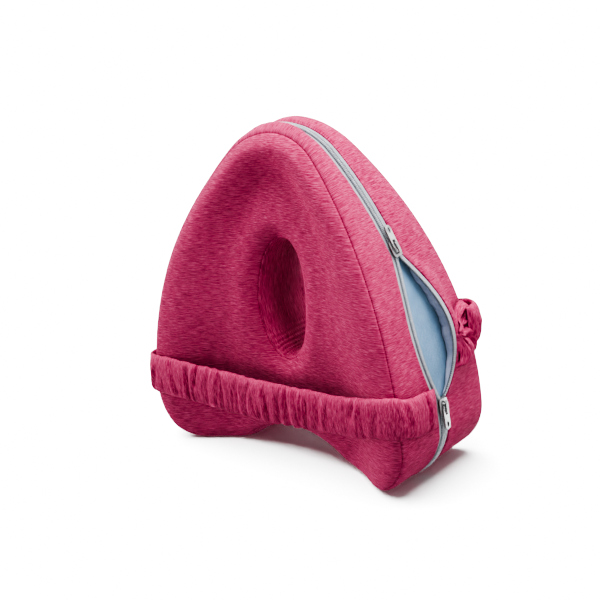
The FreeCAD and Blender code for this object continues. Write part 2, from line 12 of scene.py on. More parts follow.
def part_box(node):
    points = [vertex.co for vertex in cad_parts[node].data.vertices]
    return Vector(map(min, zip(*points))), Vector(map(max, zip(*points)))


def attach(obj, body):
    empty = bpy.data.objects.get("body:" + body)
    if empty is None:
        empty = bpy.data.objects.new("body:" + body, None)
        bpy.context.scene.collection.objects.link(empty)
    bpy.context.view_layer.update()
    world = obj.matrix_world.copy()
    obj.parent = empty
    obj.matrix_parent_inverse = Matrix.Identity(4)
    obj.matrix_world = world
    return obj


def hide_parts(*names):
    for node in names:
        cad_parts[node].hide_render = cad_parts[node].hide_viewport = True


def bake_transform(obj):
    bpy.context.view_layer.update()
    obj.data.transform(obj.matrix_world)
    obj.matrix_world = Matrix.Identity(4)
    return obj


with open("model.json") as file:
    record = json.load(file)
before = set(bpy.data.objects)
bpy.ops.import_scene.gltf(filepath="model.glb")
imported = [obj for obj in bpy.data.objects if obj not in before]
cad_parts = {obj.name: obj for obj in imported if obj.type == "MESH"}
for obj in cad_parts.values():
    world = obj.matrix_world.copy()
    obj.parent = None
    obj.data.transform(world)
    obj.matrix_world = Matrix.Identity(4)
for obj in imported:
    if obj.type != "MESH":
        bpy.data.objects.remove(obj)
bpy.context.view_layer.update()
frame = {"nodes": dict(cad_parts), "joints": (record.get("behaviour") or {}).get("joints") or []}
MM = 0.001
SCENE = bpy.context.scene
JOINTS = {joint["name"]: joint for joint in frame["joints"]}


def cad_mm(node):
    """Lowest and highest corner of a CAD node, in millimetres."""
    low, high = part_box(node)
    return np.array(low) / MM, np.array(high) / MM


# ---- outline

# the outline is the CAD's, but the arch between the lobes is 3.5 mm higher
HEIGHT, TOP_RADIUS, SIDE_RADIUS, LOBE_RADIUS = 250.0, 59.0, 285.0, 40.0
LOBE_X, INNER_RADIUS, INNER_X, NOTCH_HEIGHT = 82.0, 34.5, 64.0, 21.5
DEPTH_LOW, DEPTH_TOP, DEPTH_BULGE = 50.0, 19.5, 12.0
GROOVE_DEEP, GROOVE_DEEPER, GROOVE_RIM, GROOVE_WALL, GROOVE_WIDER = 15.5, 9.5, 11.0, 31.0, 27.0
# heights below which the groove widens and deepens, and the drops it takes
GROOVE_WIDENS, GROOVE_DEEPENS = (205.0, 120.0), (130.0, 110.0)
HOLE_Z, HOLE_WIDE, HOLE_TALL = 124.0, 20.0, 43.0
SIDE_FOOT = LOBE_RADIUS + 20.0

SIDE = np.array(JOINTS["upper_slider_travel"]["pos_m"])[[0, 2]] / MM
TOP = np.array([0.0, HEIGHT - TOP_RADIUS])
LOBE = np.array([LOBE_X, LOBE_RADIUS])
INNER = np.array([INNER_X, INNER_RADIUS])
NOTCH_RADIUS = (INNER_X ** 2 + NOTCH_HEIGHT ** 2) / (2 * NOTCH_HEIGHT) - INNER_RADIUS
NOTCH = np.array([0.0, NOTCH_HEIGHT - NOTCH_RADIUS])
TOP_TURN = math.atan2(*(TOP - SIDE)[::-1])
LOBE_TURN = math.atan2(*(LOBE - SIDE)[::-1])
NOTCH_TURN = math.atan2(*(INNER - NOTCH)[::-1])
RIGHT_ANGLE = math.pi / 2

# half of the outline from the top: centre, radius, first and last angle, and 1 where it bulges out
ARCS = [(TOP, TOP_RADIUS, RIGHT_ANGLE, TOP_TURN, 1),
        (SIDE, SIDE_RADIUS, TOP_TURN, LOBE_TURN, 1),
        (LOBE, LOBE_RADIUS, LOBE_TURN, -RIGHT_ANGLE, 1),
        (None, LOBE_X - INNER_X, 0, 0, 1),
        (INNER, INNER_RADIUS, -RIGHT_ANGLE, NOTCH_TURN - math.pi, 1),
        (NOTCH, NOTCH_RADIUS, NOTCH_TURN, RIGHT_ANGLE, -1)]
LENGTHS = [radius if centre is None else radius * abs(last - first)
           for centre, radius, first, last, _ in ARCS]
STARTS = np.concatenate([[0.0], np.cumsum(LENGTHS)])
HALF_ROUND = STARTS[-1]
ROUND = 2 * HALF_ROUND
FLAT_START, NOTCH_START = STARTS[3], STARTS[5]


def outline(s):
    """X, Z and the outward normal of the outline at these lengths, clockwise from the top."""
    s = np.asarray(s, float) % ROUND
    left = s > HALF_ROUND
    run = np.where(left, ROUND - s, s)
    x, z, nx, nz = (np.zeros_like(run) for _ in range(4))
    for (centre, radius, first, last, bulge), start, end in zip(ARCS, STARTS, STARTS[1:]):
        here = (run >= start) & (run <= end)
        along = run[here] - start
        if centre is None:
            x[here], z[here], nx[here], nz[here] = LOBE_X - along, 0.0, 0.0, -1.0
            continue
        turn = first + math.copysign(1, last - first) * along / radius
        x[here] = centre[0] + radius * np.cos(turn)
        z[here] = centre[1] + radius * np.sin(turn)
        nx[here], nz[here] = bulge * np.cos(turn), bulge * np.sin(turn)
    side = np.where(left, -1.0, 1.0)
    return x * side, z, nx * side, nz


def smooth(t):
    """0 up to 0 and 1 from 1 on, with a soft rise between them."""
    t = np.clip(t, 0.0, 1.0)
    return t * t * (3 - 2 * t)


def half_width(z):
    """X of the side arc at this height; below the arc's foot it stays as it is there."""
    z = np.maximum(z, SIDE_FOOT)
    return SIDE[0] + np.sqrt(np.maximum(SIDE_RADIUS ** 2 - (z - SIDE[1]) ** 2, 0))


def half_depth(z):
    """Half the pillow's thickness at this height, without its grooves."""
    up = z / HEIGHT
    return DEPTH_LOW + (DEPTH_TOP - DEPTH_LOW) * up + DEPTH_BULGE * 4 * up * (1 - up)


def inset(x, z):
    """Distance in from the top and side arcs of the outline."""
    x, z = np.broadcast_arrays(np.abs(x), np.maximum(z, SIDE_FOOT))
    above = np.arctan2(z - TOP[1], x - TOP[0]) > TOP_TURN
    side = SIDE_RADIUS - np.hypot(x - SIDE[0], z - SIDE[1])
    return np.maximum(np.where(above, TOP_RADIUS - np.hypot(x - TOP[0], z - TOP[1]), side), 0)


def below(z, start, drop):
    """0 at the starting height and above, rising to 1 over the drop."""
    return smooth((start - z) / drop)


def groove(x, z):
    """Depth of the leg groove: a scoop with a round steep top end, deeper towards the bottom."""
    wall = GROOVE_WALL + GROOVE_WIDER * below(z, *GROOVE_WIDENS)
    depth = GROOVE_DEEP + GROOVE_DEEPER * below(z, *GROOVE_DEEPENS)
    return depth * smooth((inset(x, z) - GROOVE_RIM) / wall)


def face_depth(x, z):
    """Distance of the pillow's face from its middle plane."""
    return half_depth(z) - groove(x, z)


def stack(*parts):
    """One array of points or vectors from their coordinates."""
    return np.stack(np.broadcast_arrays(*parts), -1)


LATTICE = 64


def lattice(a, b, pitch, seed):
    """Smooth random waves between -1 and 1 over two lengths, the same on every run."""
    table = np.random.RandomState(seed).uniform(-1, 1, (LATTICE, LATTICE))
    a, b = np.asarray(a, float) / pitch, np.asarray(b, float) / pitch
    ia, ib = np.floor(a).astype(int), np.floor(b).astype(int)
    fa, fb = smooth(a - ia), smooth(b - ib)
    ia, ib, ja, jb = (index % LATTICE for index in (ia, ib, ia + 1, ib + 1))
    low = table[ia, ib] * (1 - fb) + table[ia, jb] * fb
    high = table[ja, ib] * (1 - fb) + table[ja, jb] * fb
    return low * (1 - fa) + high * fa


# ---- meshes

def make_mesh(name, points, faces, cloth, weight, material):
    """A mesh object from points in millimetres, with cloth coordinates and joint weights as layers."""
    mesh = bpy.data.meshes.new(name)
    mesh.from_pydata((points.reshape(-1, 3) * MM).tolist(), [], faces)
    layer = mesh.attributes.new("cloth", "FLOAT_VECTOR", "POINT").data
    layer.foreach_set("vector", cloth.astype(np.float32).ravel())
    if weight is not None:
        layer = mesh.attributes.new("joint_weight", "FLOAT", "POINT").data
        layer.foreach_set("value", np.broadcast_to(weight, points.shape[:-1]).astype(np.float32).ravel())
    mesh.polygons.foreach_set("use_smooth", [True] * len(mesh.polygons))
    mesh.materials.append(material)
    obj = bpy.data.objects.new(name, mesh)
    SCENE.collection.objects.link(obj)
    return obj


def grid_faces(rows, columns, around=False, across=False, flip=False):
    """Quads of a grid of points, joined end to end round either way."""
    i = np.arange(rows if around else rows - 1)[:, None]
    j = np.arange(columns if across else columns - 1)[None, :]
    a, b = i * columns + j, ((i + 1) % rows) * columns + j
    c, d = ((i + 1) % rows) * columns + (j + 1) % columns, i * columns + (j + 1) % columns
    quads = np.stack([a, b, c, d] if not flip else [a, d, c, b], -1).reshape(-1, 4)
    return quads.tolist()


def grid_object(name, points, cloth, material, weight=None, around=False, across=False, flip=False):
    """A mesh object from a grid of points; cloth is two lengths over the fabric, its grain first."""
    rows, columns = points.shape[:2]
    faces = grid_faces(rows, columns, around, across, flip)
    cloth = np.concatenate([cloth, np.zeros((rows, columns, 1))], -1)
    return make_mesh(name, points, faces, cloth, weight, material)


def settle(obj):
    """Applies the object's modifiers."""
    graph = bpy.context.evaluated_depsgraph_get()
    seen = obj.evaluated_get(graph)
    mesh = bpy.data.meshes.new_from_object(seen, preserve_all_data_layers=True, depsgraph=graph)
    obj.modifiers.clear()
    obj.data = mesh
    return obj


def thicken(obj, thickness):
    """Gives a sheet its thickness on the side away from its normals."""
    solid = obj.modifiers.new("thickness", "SOLIDIFY")
    solid.thickness = thickness * MM
    solid.offset = -1
    return settle(obj)


def follow(obj, body, slot, *nodes):
    """The piece rides one body and stands for these CAD nodes."""
    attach(obj, body)
    if nodes:
        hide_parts(*nodes)
    return obj


def bend(obj, body, slot, *nodes):
    """Bakes the piece's placement into its mesh and hides these nodes; its joint weights stay in its mesh
    layer.
    """
    low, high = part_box(nodes[0])
    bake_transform(obj)
    weights = np.zeros(len(obj.data.vertices), np.float32)
    obj.data.attributes["joint_weight"].data.foreach_get("value", weights)
    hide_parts(*nodes)
    return obj


# ---- materials

class Nodes:
    """A material's node tree, with a short way to add and join nodes."""

    def __init__(self, name):
        self.material = bpy.data.materials.new(name)
        self.material.use_nodes = True
        self.tree = self.material.node_tree
        self.shader = self.tree.nodes["Principled BSDF"]

    def add(self, kind, inputs=None, **settings):
        node = self.tree.nodes.new("ShaderNode" + kind)
        for word, value in settings.items():
            setattr(node, word, value)
        for word, value in (inputs or {}).items():
            self.set(node, word, value)
        return node

    def set(self, node, word, value):
        """Sets an input to a value, or joins it to another node's first output or to a socket."""
        socket = node.inputs[word]
        if isinstance(value, bpy.types.Node):
            value = value.outputs[0]
        if isinstance(value, bpy.types.NodeSocket):
            self.tree.links.new(value, socket)
        else:
            socket.default_value = value

    def cloth(self, grain, cross):
        """The cloth's own coordinates, each length divided by the size of a mark along it."""
        place = self.add("Attribute", attribute_name="cloth")
        scale = (1 / grain, 1 / cross, 1.0)
        return self.add("VectorMath", {0: place.outputs["Vector"], 1: scale}, operation="MULTIPLY")

    def noise(self, where, detail=2.0, roughness=0.55, scale=1.0, distortion=0.0):
        where = where.outputs[0] if isinstance(where, bpy.types.Node) else where
        return self.add("TexNoise", {"Vector": where, "Scale": scale, "Detail": detail,
                                     "Roughness": roughness, "Distortion": distortion})

    def ramp(self, factor, *stops):
        """A colour ramp through (place, colour) stops."""
        node = self.add("ValToRGB", {"Fac": factor})
        elements = node.color_ramp.elements
        while len(elements) < len(stops):
            elements.new(0.5)
        for element, (place, colour) in zip(elements, stops):
            element.position, element.color = place, (*colour, 1)
        return node

    def mix(self, factor, a, b, blend="MIX"):
        """Colour a with colour b mixed or blended over it by the factor."""
        node = self.add("Mix", data_type="RGBA", blend_type=blend)
        for index, value in ((0, factor), (6, a), (7, b)):
            if isinstance(value, tuple) and len(value) == 3:
                value = (*value, 1)
            self.set(node, index, value)
        return node.outputs[2]

    def tones(self, factor, low, high):
        """A ramp between two screen colours."""
        return self.ramp(factor, (0.3, shade(*low)), (0.7, shade(*high)))

    def wave(self, grain, cross, distortion, way):
        """Threads or ribs over the cloth's coordinates."""
        inputs = {"Vector": self.cloth(grain, cross), "Scale": 1.0, "Distortion": distortion}
        return self.add("TexWave", inputs, bands_direction=way)

    def across_zip(self, place):
        """Distance from the middle of the zip."""
        return self.maths("ABSOLUTE", self.add("SeparateXYZ", {"Vector": place}))

    def maths(self, operation, a, b=0.0):
        return self.add("Math", {0: a, 1: b}, operation=operation)

    def layers(self, *shares):
        """The sum of values, each times its share."""
        first, second = (self.maths("MULTIPLY", value, share) for value, share in shares)
        return self.maths("ADD", first, second)

    def lifted(self, value, spread, base):
        """The base plus a value times its spread."""
        return self.maths("ADD", self.maths("MULTIPLY", value, spread), base)

    def finish(self, colour, roughness, bumps, **shader):
        """Joins colour, roughness and a chain of (height, distance in millimetres) bumps."""
        self.set(self.shader, "Base Color", colour)
        self.set(self.shader, "Roughness", roughness)
        normal = None
        for height, distance in bumps:
            bump = self.add("Bump", {"Height": height, "Distance": distance * MM, "Strength": 1.0})
            if normal:
                self.set(bump, "Normal", normal)
            normal = bump
        self.set(self.shader, "Normal", normal)
        for word, value in shader.items():
            self.set(self.shader, word.replace("_", " "), value)
        return self.material


def shade(red, green, blue):
    """Linear colour of a screen colour whose parts run from about 10 to 255."""
    return tuple(((part / 255 + 0.055) / 1.055) ** 2.4 for part in (red, green, blue))


# linear colours of the yarn: its dark, middle and light tones
YARN = [(0.21, 0.013, 0.053), (0.37, 0.037, 0.106), (0.54, 0.096, 0.205)]


def heather(name, streak, thread):
    """Jersey knitted from two-tone yarn: streaks along the grain, a thread wide, over fine wales."""
    nodes = Nodes(name)
    long_marks = nodes.noise(nodes.cloth(streak, thread), 3.0, 0.6, distortion=0.25)
    short_marks = nodes.noise(nodes.cloth(streak * 0.35, thread * 0.55), 2.0, 0.6)
    marks = nodes.layers((long_marks, 0.68), (short_marks, 0.32))
    colour = nodes.ramp(marks, *zip((0.38, 0.5, 0.62), YARN))
    cloud = nodes.noise(nodes.cloth(45, 30), 3.0)
    tone = nodes.add("HueSaturation", {"Color": colour, "Value": nodes.lifted(cloud, 0.22, 0.89)})
    wales = nodes.add("TexWave", {"Vector": nodes.cloth(0.9, 1.1), "Scale": 1.0, "Distortion": 1.2,
                                  "Detail": 1.0}, bands_direction="Y", rings_direction="X")
    return nodes.finish(tone, nodes.lifted(marks, 0.2, 0.72), [(marks, 0.22), (wales, 0.05)],
                        Sheen_Weight=0.06, Sheen_Roughness=0.5, Sheen_Tint=(1.0, 0.4, 0.6, 1),
                        Specular_IOR_Level=0.1)


def foam_material():
    """Open-cell foam: fine pale blue cells with a few larger pores."""
    nodes = Nodes("foam")
    place = nodes.add("TexCoord").outputs["Object"]
    cells, pores = (nodes.add("TexVoronoi", {"Vector": place, "Scale": 1 / (size * MM)},
                              feature="F1").outputs["Distance"] for size in (0.55, 2.6))
    cloud = nodes.noise(place, 3.0, scale=1 / (18 * MM))
    base = nodes.tones(cloud, (96, 128, 157), (112, 143, 171))
    grain = nodes.ramp(cells, (0.05, (0.8, 0.84, 0.9)), (0.55, (1.0, 1.0, 1.0)))
    dots = nodes.ramp(pores, (0.05, (0.86, 0.9, 0.94)), (0.16, (1.0, 1.0, 1.0)))
    colour = nodes.mix(1.0, nodes.mix(1.0, base, grain, "MULTIPLY"), dots, "MULTIPLY")
    return nodes.finish(colour, 0.92, [(cells, 0.16), (pores, 0.1)], Sheen_Weight=0.25,
                        Specular_IOR_Level=0.2)


def tape_material():
    """Zip tape: a close grey twill, with painted shade along the groove beside the coil."""
    nodes = Nodes("zip_tape")
    place = nodes.add("Attribute", attribute_name="cloth").outputs["Vector"]
    twill = nodes.add("TexWave", {"Vector": nodes.cloth(1.0, 1.0), "Scale": 1.25, "Distortion": 0.4},
                      bands_direction="DIAGONAL")
    fibres = nodes.noise(place, 3.0, scale=1.6)
    base = nodes.tones(fibres, (112, 116, 124), (150, 155, 162))
    threads = nodes.ramp(twill, (0.1, (0.55, 0.56, 0.6)), (0.9, (1, 1, 1)))
    woven = nodes.mix(0.3, base, threads, "MULTIPLY")
    # painted shade: the tape is darkened out to about 2.7 mm from the middle of the zip and lightens by
    # 3.4 mm, along the groove beside the coil
    centimetres = nodes.maths("DIVIDE", nodes.across_zip(place), 10.0)
    shade_by_coil = nodes.ramp(centimetres, (0.24, (0.2, 0.21, 0.24)), (0.27, (0.25, 0.26, 0.3)),
                             (0.34, (1, 1, 1)))
    colour = nodes.mix(1.0, woven, shade_by_coil, "MULTIPLY")
    return nodes.finish(colour, 0.72, [(twill, 0.1), (fibres, 0.05)], Sheen_Weight=0.2)


def coil_material():
    """Nylon coil: satin light grey, with painted shade along the line where the two rows meet."""
    nodes = Nodes("zip_coil")
    place = nodes.add("Attribute", attribute_name="cloth").outputs["Vector"]
    haze = nodes.noise(place, 2.0, scale=0.9)
    nylon = nodes.tones(haze, (126, 130, 137), (164, 168, 174))
    # painted shade: the coil is darkened within about 0.6 mm of the middle of the zip, where the two rows
    # meet
    shade_where_rows_meet = nodes.ramp(nodes.across_zip(place), (0.25, (0.22, 0.23, 0.26)), (0.6, (1, 1, 1)))
    colour = nodes.mix(1.0, nylon, shade_where_rows_meet, "MULTIPLY")
    return nodes.finish(colour, nodes.lifted(haze, 0.2, 0.28), [(haze, 0.04)], Specular_IOR_Level=0.5)


def facing_material():
    """Thin woven facing: a plain weave in grey lavender."""
    nodes = Nodes("facing")
    warp, weft = (nodes.wave(0.55, 0.55, 0.3, way) for way in ("X", "Y"))
    weave = nodes.maths("MAXIMUM", warp, weft)
    cloud = nodes.noise(nodes.cloth(9, 5), 3.0)
    base = nodes.tones(cloud, (146, 154, 180), (172, 178, 201))
    threads = nodes.ramp(weave, (0.0, (0.7, 0.72, 0.8)), (1.0, (1, 1, 1)))
    colour = nodes.mix(0.3, base, threads, "MULTIPLY")
    return nodes.finish(colour, 0.8, [(weave, 0.08)], Sheen_Weight=0.3)


def metal_material():
    """Die-cast metal under grey lacquer, with a painted highlight along its edges."""
    nodes = Nodes("slider_metal")
    place = nodes.add("TexCoord").outputs["Object"]
    grain = nodes.noise(place, 4.0, scale=1 / (0.8 * MM))
    sharpness = nodes.add("NewGeometry").outputs["Pointiness"]
    # painted highlight: the sharpest edges are mixed towards a lighter grey
    edge = nodes.ramp(sharpness, (0.5, (0, 0, 0)), (0.6, (1, 1, 1)))
    base = nodes.tones(grain, (68, 68, 70), (90, 90, 92))
    colour = nodes.mix(edge, base, shade(132, 132, 133))
    return nodes.finish(colour, nodes.lifted(grain, 0.18, 0.3), [(grain, 0.015)], Metallic=0.55,
                        Coat_Weight=0.4, Coat_Roughness=0.2)


def elastic_material():
    """White woven elastic: lengthwise rubber ribs crossed by fine weft."""
    nodes = Nodes("elastic")
    ribs = nodes.wave(1.2, 1.8, 0.2, "X")
    weft = nodes.noise(nodes.cloth(1.5, 0.5), 2.0)
    colour = nodes.ramp(ribs, (0.1, shade(150, 148, 144)), (0.9, shade(200, 198, 194)))
    return nodes.finish(colour, 0.7, [(ribs, 0.2), (weft, 0.05)])


KNIT, STRAP_KNIT = heather("heather_knit", 7.5, 0.45), heather("strap_knit", 5.5, 0.5)
FOAM, TAPE, COIL = foam_material(), tape_material(), coil_material()
FACING, METAL, ELASTIC = facing_material(), metal_material(), elastic_material()


# ---- camera, floor and light

# lengths in millimetres and angles in degrees; the shift is a share of the frame
CAMERA = {"target": (0.0, 0.0, 125.0), "azimuth": 42.0, "elevation": 17.5, "distance": 850.0,
          "lens": 68.3, "roll": -5.6, "shift": (-0.0025, -0.0166)}


def camera():
    """The camera, aimed at its target from its azimuth and elevation, then rolled."""
    turn, rise = math.radians(CAMERA["azimuth"]), math.radians(CAMERA["elevation"])
    back = Vector((math.sin(turn) * math.cos(rise), -math.cos(turn) * math.cos(rise), math.sin(rise)))
    data = bpy.data.cameras.new("camera")
    data.lens, data.sensor_width = CAMERA["lens"], 36.0
    data.shift_x, data.shift_y = CAMERA["shift"]
    data.clip_start, data.clip_end = 0.02, 20.0
    eye = bpy.data.objects.new("camera", data)
    eye.location = (Vector(CAMERA["target"]) + back * CAMERA["distance"]) * MM
    eye.rotation_mode = "QUATERNION"
    roll = Quaternion((0, 0, 1), math.radians(CAMERA["roll"]))
    eye.rotation_quaternion = (-back).to_track_quat("-Z", "Y") @ roll
    SCENE.collection.objects.link(eye)
    SCENE.camera = eye


def lamp(name, place, size, power):
    """A square soft light aimed at the middle of the pillow."""
    data = bpy.data.lights.new(name, "AREA")
    data.shape, data.size, data.energy = "SQUARE", size, power
    light = bpy.data.objects.new(name, data)
    light.location = place
    light.rotation_mode = "QUATERNION"
    light.rotation_quaternion = (Vector((0, 0, 0.1)) - Vector(place)).to_track_quat("-Z", "Y")
    SCENE.collection.objects.link(light)
    return light


# each soft lamp's name, place and size in metres, and power in watts
LAMPS = [("top", (0.25, 0.05, 1.35), 0.8, 33.0), ("left", (-1.45, -0.7, 0.6), 1.1, 17.0),
         ("right", (1.3, 0.3, 0.9), 1.0, 6.0), ("low_left", (-0.8, -1.0, 0.15), 0.5, 5.0),
         ("low_right", (0.75, -0.42, 0.03), 0.35, 1.4)]
FLOOR_LIGHT, SURROUND, AMBIENT = 18.0, 3.2, 0.36
FLOOR_SIZE, FLOOR_DROP, DOME_RADIUS = 50.0, 0.0004, 24.0
SUN_WIDTH, SUN_TILT = math.radians(76), (math.radians(4), math.radians(-14), 0)


def pale_floor():
    """A plain pale floor just under the pillow, which throws no light back on it."""
    bpy.ops.mesh.primitive_plane_add(size=FLOOR_SIZE, location=(0, 0, -FLOOR_DROP))
    floor = bpy.context.object
    floor.name = "floor"
    nodes = Nodes("floor")
    cloud = nodes.noise(nodes.add("TexCoord").outputs["Object"], 2.0, scale=3.0)
    tint = nodes.ramp(cloud, (0.3, (0.87, 0.87, 0.87)), (0.7, (0.89, 0.89, 0.89)))
    floor.data.materials.append(nodes.finish(tint, 0.9, [(tint, 0.01)], Specular_IOR_Level=0.1))
    floor.visible_diffuse = False
    return floor


def white_dome():
    """A bright dome that shows behind the pillow and in its gloss, and lights nothing."""
    bpy.ops.mesh.primitive_uv_sphere_add(segments=48, ring_count=24, radius=DOME_RADIUS)
    dome = bpy.context.object
    dome.name = "dome"
    glow = Nodes("dome")
    light = {"Base Color": (0, 0, 0, 1), "Emission Color": (1, 1, 1, 1), "Emission Strength": SURROUND}
    for word, value in light.items():
        glow.set(glow.shader, word, value)
    dome.data.materials.append(glow.material)
    dome.visible_diffuse = dome.visible_shadow = False


def surround():
    """Even white light from all round."""
    world = bpy.data.worlds.new("surround")
    world.use_nodes = True
    background = world.node_tree.nodes["Background"]
    background.inputs["Color"].default_value = (1, 1, 1, 1)
    background.inputs["Strength"].default_value = AMBIENT
    SCENE.world = world


def floor_sun(floor):
    """A wide soft sun for the floor only, which keeps the pillow's shadow soft and grey."""
    data = bpy.data.lights.new("floor_light", "SUN")
    data.energy, data.angle = FLOOR_LIGHT, SUN_WIDTH
    sun = bpy.data.objects.new("floor_light", data)
    sun.rotation_euler = SUN_TILT
    SCENE.collection.objects.link(sun)
    lit = bpy.data.collections.new("lit_floor")
    lit.objects.link(floor)
    sun.light_linking.receiver_collection = lit


def studio():
    """The floor, the dome and the lights; the soft lamps light everything but the floor."""
    floor = pale_floor()
    white_dome()
    surround()
    unlit = bpy.data.collections.new("all_but_floor")
    unlit.objects.link(floor)
    unlit.collection_objects[0].light_linking.link_state = "EXCLUDE"
    for settings in LAMPS:
        lamp(*settings).light_linking.receiver_collection = unlit
    floor_sun(floor)
    SCENE.view_settings.view_transform = "AgX"
    SCENE.view_settings.look = "AgX - Very High Contrast"


# ---- cover

# -1 is the front face and 1 the back one
CORNER = {-1: 8.0, 1: 5.0}
CORNER_SEAM = {-1: math.radians(42), 1: math.radians(50)}
TOP_CORNER, NOTCH_CORNER = {-1: 13.0, 1: 5.0}, 10.0
RIM, RIM_SEAM = {-1: 20.0, 1: 9.0}, math.radians(34)
TOP_CORNER_FADE = (150.0, 110.0)
SEAM_DEEP, SEAM_WIDE, RIDGE_HIGH, RIDGE_PLACE, RIDGE_WIDE = 0.5, 0.28, 0.25, 1.5, 1.0
FABRIC, BAND_FABRIC = 1.1, 0.77


def corner_radius(s, side):
    """Radius of the corner between a face and the edge band; it grows at the top and along the notch."""
    run = np.minimum(s % ROUND, ROUND - s % ROUND)
    top = (TOP_CORNER[side] - CORNER[side]) * below(run, *TOP_CORNER_FADE)
    notch = (NOTCH_CORNER - CORNER[side]) * smooth((run - FLAT_START) / (NOTCH_START - FLAT_START))
    return CORNER[side] + top + notch


def corner(q, radius, seam_turn):
    """How far a point is in from the edge and from the face, q millimetres from a corner's seam.
    The face is at positive q and the wall at negative q; the seam draws the fabric in."""
    turn = np.clip(seam_turn + q / radius, 0, RIGHT_ANGLE)
    on_face = np.maximum(q - radius * (RIGHT_ANGLE - seam_turn), 0)
    on_wall = np.maximum(-q - radius * seam_turn, 0)
    dent = SEAM_DEEP * np.exp(-(q / SEAM_WIDE) ** 2)
    dent -= RIDGE_HIGH * np.exp(-((np.abs(q) - RIDGE_PLACE) / RIDGE_WIDE) ** 2)
    inward = radius * (1 - np.cos(turn)) + on_face + dent * np.cos(turn)
    deep = radius * (1 - np.sin(turn)) + on_wall + dent * np.sin(turn)
    return inward, deep


def oval(t):
    """X, Z and outward normal of the hole's wall at these angles."""
    x, z = HOLE_WIDE * np.cos(t), HOLE_Z + HOLE_TALL * np.sin(t)
    nx, nz = np.cos(t) / HOLE_WIDE, np.sin(t) / HOLE_TALL
    size = np.hypot(nx, nz)
    return x, z, nx / size, nz / size


# the close rows beside a panel's edge seam: their reach, number and crowding towards it
EDGE_REACH, EDGE_ROWS, EDGE_CROWD = 16.0, 19, 1.8
RIM_FURTHER, PANEL_ROUND, PANEL_MIDDLE, TAUT = 1.25, 560, 36, 9.0


def panel(name, side):
    """One face of the cover, from the edge seam to the seam round the hole."""
    s = np.linspace(0, ROUND, PANEL_ROUND, endpoint=False)[:, None]
    x, z, nx, nz = outline(s)
    near = EDGE_REACH * (np.linspace(0, 1, EDGE_ROWS)[None, :]) ** EDGE_CROWD
    near_rim = near[:, ::-1] * RIM_FURTHER
    edge_in, edge_deep = corner(near, corner_radius(s, side), CORNER_SEAM[side])
    edge_x, edge_z = x - nx * edge_in, z - nz * edge_in
    hole_x, hole_z, hole_nx, hole_nz = oval(np.arctan2(z - HOLE_Z, x))
    rim_in, rim_deep = corner(near_rim, RIM[side], RIM_SEAM)
    rim_x, rim_z = hole_x + hole_nx * rim_in, hole_z + hole_nz * rim_in
    t = np.linspace(0, 1, PANEL_MIDDLE)[None, 1:-1]
    mid_x = edge_x[:, -1:] * (1 - t) + rim_x[:, :1] * t
    mid_z = edge_z[:, -1:] * (1 - t) + rim_z[:, :1] * t
    px = np.concatenate([edge_x, mid_x, rim_x], 1)
    pz = np.concatenate([edge_z, mid_z, rim_z], 1)
    flat = np.zeros_like(mid_x)
    deep = np.concatenate([edge_deep, flat, rim_deep + flat[:, :1]], 1)
    by_edge, by_rim = (smooth(rows / TAUT) + flat[:, :1] for rows in (near, near_rim))
    soft = np.concatenate([by_edge, flat + 1, by_rim], 1)
    sway = soft * (0.45 * lattice(px, pz, 37, 1) + 0.14 * lattice(px, pz, 8, 2))
    py = side * (face_depth(px, pz) - deep + sway)
    points = stack(px, py, np.maximum(pz, 0))
    obj = grid_object(name, points, stack(px, pz), KNIT, around=True, flip=side < 0)
    thicken(obj, FABRIC)
    return follow(obj, "root", "knit", name)


LINING_ROUND, LINING_ROWS, LINING_CROWD, HOLE_GIRTH = 264, 26, 1.5, 32
PLEATS, PLEAT_DEEP, PLEAT_WANDER, PLEAT_SINK = 46, 0.9, 1.2, 0.7


def hole_lining():
    """The tube of fabric through the hole, from seam to seam, with creases at its lower end."""
    t = np.linspace(0, 2 * math.pi, LINING_ROUND, endpoint=False)[:, None]
    x, z, nx, nz = oval(t)
    halves = []
    for side in (-1, 1):
        share = np.linspace(0, 1, LINING_ROWS)[None, :] ** LINING_CROWD
        rim = RIM[side]
        run = share * (rim * RIM_SEAM + face_depth(x, z) - rim)
        inward, deep = corner(-run, rim, RIM_SEAM)
        fade = smooth(run / 5) * (1 - smooth((run - 12) / 22))
        low = smooth((-np.sin(t) - 0.55) / 0.4)
        wander = PLEAT_WANDER * lattice(t * 40, run, 9, 3)
        pleat = PLEAT_DEEP * np.sin(t * PLEATS + wander) * low * fade
        sway = 0.5 * lattice(t * 30, run * side, 11, 4) * smooth(run / 6)
        inward = inward + pleat * PLEAT_SINK + sway
        px, pz = x + nx * inward, z + nz * inward
        py = side * (face_depth(x + nx * np.maximum(inward, 0), pz) - deep)
        py[:, -1] = 0
        halves.append(stack(px, py, pz))
    points = np.concatenate([halves[0], halves[1][:, -2::-1]], 1)
    cloth = stack(t * HOLE_GIRTH, points[..., 1])
    obj = grid_object("hole_lining", points, cloth, KNIT, around=True)
    thicken(obj, FABRIC)
    return follow(obj, "root", "knit", "hole_lining")


# ---- zip path

ZIP_UNDER = math.radians(60)
ZIP_START, ZIP_END = -STARTS[1], STARTS[2] + LOBE_RADIUS * (LOBE_TURN + ZIP_UNDER)
ZIP_LINE, ZIP_DRIFT = -2.0, -6.0


def slider_length(node):
    """Length along the outline of a slider's body."""
    low, high = cad_mm(node)
    middle = (low + high) / 2
    angle = math.atan2(middle[2] - SIDE[1], middle[0] - SIDE[0])
    return STARTS[1] + SIDE_RADIUS * (TOP_TURN - angle)


UPPER_S, LOWER_S = slider_length("upper_slider_body"), slider_length("lower_slider_body")
# the zip stays closed this near a slider; the gape's widest place is set low, and its middle is full
HOLD, GAPE_LOW, GAPE_FULL = 4.5, 1.2, 0.85


